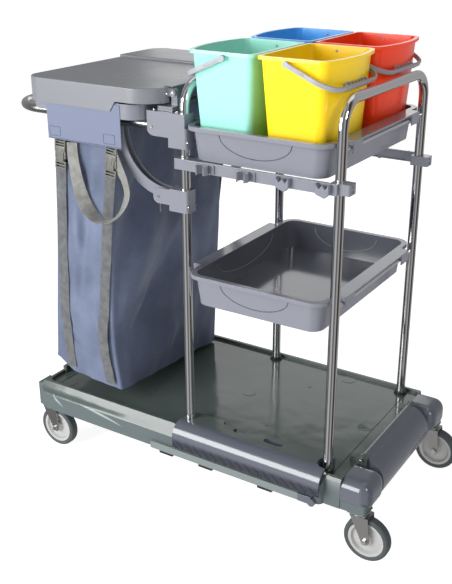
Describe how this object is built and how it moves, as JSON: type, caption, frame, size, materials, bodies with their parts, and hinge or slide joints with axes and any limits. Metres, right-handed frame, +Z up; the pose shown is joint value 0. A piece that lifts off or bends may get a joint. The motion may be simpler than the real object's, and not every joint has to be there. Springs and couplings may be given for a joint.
{
  "type": "housekeeping cart",
  "caption": "Wheeled housekeeping cart with a lidded waste bag on one end and trays, coloured buckets, clip rails and a moulded deck on the other.",
  "frame": {"origin": "middle of the cart's footprint on the floor, at the height of the wheels' lowest points", "axes": "+X along the cart towards the buckets, +Y across it towards the long side away from the side rail, +Z up; the end with the bag and the push handle is at -X"},
  "size_m": [1.2185, 0.6004, 1.25],
  "materials": {
    "deck_plastic": "moulded grey-green plastic, light grain",
    "cover_plastic": "satin purple-grey plastic",
    "rail_plastic": "extruded grey plastic",
    "dark_plastic": "near-black plastic",
    "grey_plastic": "moulded light grey plastic",
    "lid_plastic": "satin grey plastic",
    "plate_plastic": "smooth pale lilac plastic",
    "chrome_tube": "bright chrome plate",
    "frame_tube": "satin grey tube",
    "bag_fabric": "slate-blue nylon cloth",
    "webbing": "grey woven webbing",
    "buckle_plastic": "grey moulded buckle",
    "mint_plastic": "glossy mint green plastic",
    "yellow_plastic": "glossy yellow plastic",
    "blue_plastic": "glossy blue plastic",
    "red_plastic": "glossy red plastic",
    "bail_plastic": "light grey plastic",
    "fork_steel": "zinc-plated pressed steel",
    "hub_plastic": "pale grey plastic",
    "tyre_rubber": "non-marking grey rubber",
    "steel": "plain steel"
  },
  "bodies": {
    "chassis": {"deck": "deck_plastic", "edge_cover": "cover_plastic", "side_rail": "rail_plastic", "side_rail_cap": "cover_plastic", "side_rail_feet": "dark_plastic", "corner_bumpers": "cover_plastic", "end_cover_pins": "steel", "mid_frame": "chrome_tube", "end_frame": "chrome_tube", "post_collars": "dark_plastic", "tray_rods": "chrome_tube", "clip_rails": "grey_plastic", "rail_clamps": "grey_plastic", "clamp_screws": "steel", "mop_clips": "grey_plastic", "tool_hooks": "grey_plastic", "bag_tube": "frame_tube", "upper_brackets": "grey_plastic", "lower_brackets": "grey_plastic", "brace_arms": "grey_plastic", "bracket_screws": "steel", "lock_pins": "steel", "bag_ring": "grey_plastic", "lid_hinge_pins": "steel", "side_plates": "plate_plastic", "bag": "bag_fabric", "straps": "webbing", "buckles": "buckle_plastic", "carry_loops": "webbing", "caster_plates": "steel"},
    "near_left_caster": {"near_left_fork": "fork_steel", "near_left_axle": "steel"},
    "near_left_wheel": {"near_left_hub": "hub_plastic", "near_left_tyre": "tyre_rubber"},
    "near_right_caster": {"near_right_fork": "fork_steel", "near_right_axle": "steel"},
    "near_right_wheel": {"near_right_hub": "hub_plastic", "near_right_tyre": "tyre_rubber"},
    "far_left_caster": {"far_left_fork": "fork_steel", "far_left_axle": "steel"},
    "far_left_wheel": {"far_left_hub": "hub_plastic", "far_left_tyre": "tyre_rubber"},
    "far_right_caster": {"far_right_fork": "fork_steel", "far_right_axle": "steel"},
    "far_right_wheel": {"far_right_hub": "hub_plastic", "far_right_tyre": "tyre_rubber"},
    "mint_bucket": {"mint_bucket": "mint_plastic"},
    "mint_bail": {"mint_bail": "bail_plastic"},
    "yellow_bucket": {"yellow_bucket": "yellow_plastic"},
    "yellow_bail": {"yellow_bail": "bail_plastic"},
    "blue_bucket": {"blue_bucket": "blue_plastic"},
    "blue_bail": {"blue_bail": "bail_plastic"},
    "red_bucket": {"red_bucket": "red_plastic"},
    "red_bail": {"red_bail": "bail_plastic"},
    "end_cover": {"end_cover": "cover_plastic"},
    "upper_tray": {"upper_tray": "grey_plastic"},
    "lower_tray": {"lower_tray": "grey_plastic"},
    "near_lid": {"near_lid": "lid_plastic"},
    "far_lid": {"far_lid": "lid_plastic"}
  },
  "joints": [
    {"name": "end_cover_hinge", "type": "hinge", "parent": "chassis", "child": "end_cover", "pos_m": [0.486, 0, 0.232], "axis": [0, -1, 0], "range_deg": [0, 100]},
    {"name": "upper_tray_lift", "type": "slide", "parent": "chassis", "child": "upper_tray", "axis": [0, 0, 1], "range_m": [0, 0.06]},
    {"name": "lower_tray_lift", "type": "slide", "parent": "chassis", "child": "lower_tray", "axis": [0, 0, 1], "range_m": [0, 0.06]},
    {"name": "mint_bucket_lift", "type": "slide", "parent": "upper_tray", "child": "mint_bucket", "axis": [0, 0, 1], "range_m": [0, 0.3]},
    {"name": "mint_bail_hinge", "type": "hinge", "parent": "mint_bucket", "child": "mint_bail", "pos_m": [0.1265, -0.14, 1.237], "axis": [0, 1, 0], "range_deg": [0, 130]},
    {"name": "yellow_bucket_lift", "type": "slide", "parent": "upper_tray", "child": "yellow_bucket", "axis": [0, 0, 1], "range_m": [0, 0.3]},
    {"name": "yellow_bail_hinge", "type": "hinge", "parent": "yellow_bucket", "child": "yellow_bail", "pos_m": [0.2925, -0.14, 1.237], "axis": [0, -1, 0], "range_deg": [0, 130]},
    {"name": "blue_bucket_lift", "type": "slide", "parent": "upper_tray", "child": "blue_bucket", "axis": [0, 0, 1], "range_m": [0, 0.3]},
    {"name": "blue_bail_hinge", "type": "hinge", "parent": "blue_bucket", "child": "blue_bail", "pos_m": [0.1265, 0.14, 1.237], "axis": [0, 1, 0], "range_deg": [0, 130]},
    {"name": "red_bucket_lift", "type": "slide", "parent": "upper_tray", "child": "red_bucket", "axis": [0, 0, 1], "range_m": [0, 0.3]},
    {"name": "red_bail_hinge", "type": "hinge", "parent": "red_bucket", "child": "red_bail", "pos_m": [0.2925, 0.14, 1.237], "axis": [0, -1, 0], "range_deg": [0, 130]},
    {"name": "near_lid_hinge", "type": "hinge", "parent": "chassis", "child": "near_lid", "pos_m": [-0.044, 0, 1.136], "axis": [0, 1, 0], "range_deg": [0, 95]},
    {"name": "far_lid_hinge", "type": "hinge", "parent": "chassis", "child": "far_lid", "pos_m": [-0.044, 0, 1.136], "axis": [0, 1, 0], "range_deg": [0, 95]},
    {"name": "near_left_swivel", "type": "hinge", "parent": "chassis", "child": "near_left_caster", "pos_m": [-0.522, -0.248, 0.1], "axis": [0, 0, 1], "continuous": true},
    {"name": "near_left_spin", "type": "hinge", "parent": "near_left_caster", "child": "near_left_wheel", "pos_m": [-0.497, -0.248, 0.0625], "axis": [0, 1, 0], "continuous": true},
    {"name": "near_right_swivel", "type": "hinge", "parent": "chassis", "child": "near_right_caster", "pos_m": [0.522, -0.248, 0.1], "axis": [0, 0, 1], "continuous": true},
    {"name": "near_right_spin", "type": "hinge", "parent": "near_right_caster", "child": "near_right_wheel", "pos_m": [0.547, -0.248, 0.0625], "axis": [0, 1, 0], "continuous": true},
    {"name": "far_left_swivel", "type": "hinge", "parent": "chassis", "child": "far_left_caster", "pos_m": [-0.522, 0.248, 0.1], "axis": [0, 0, 1], "continuous": true},
    {"name": "far_left_spin", "type": "hinge", "parent": "far_left_caster", "child": "far_left_wheel", "pos_m": [-0.497, 0.248, 0.0625], "axis": [0, 1, 0], "continuous": true},
    {"name": "far_right_swivel", "type": "hinge", "parent": "chassis", "child": "far_right_caster", "pos_m": [0.522, 0.248, 0.1], "axis": [0, 0, 1], "continuous": true},
    {"name": "far_right_spin", "type": "hinge", "parent": "far_right_caster", "child": "far_right_wheel", "pos_m": [0.547, 0.248, 0.0625], "axis": [0, 1, 0], "continuous": true}
  ]
}
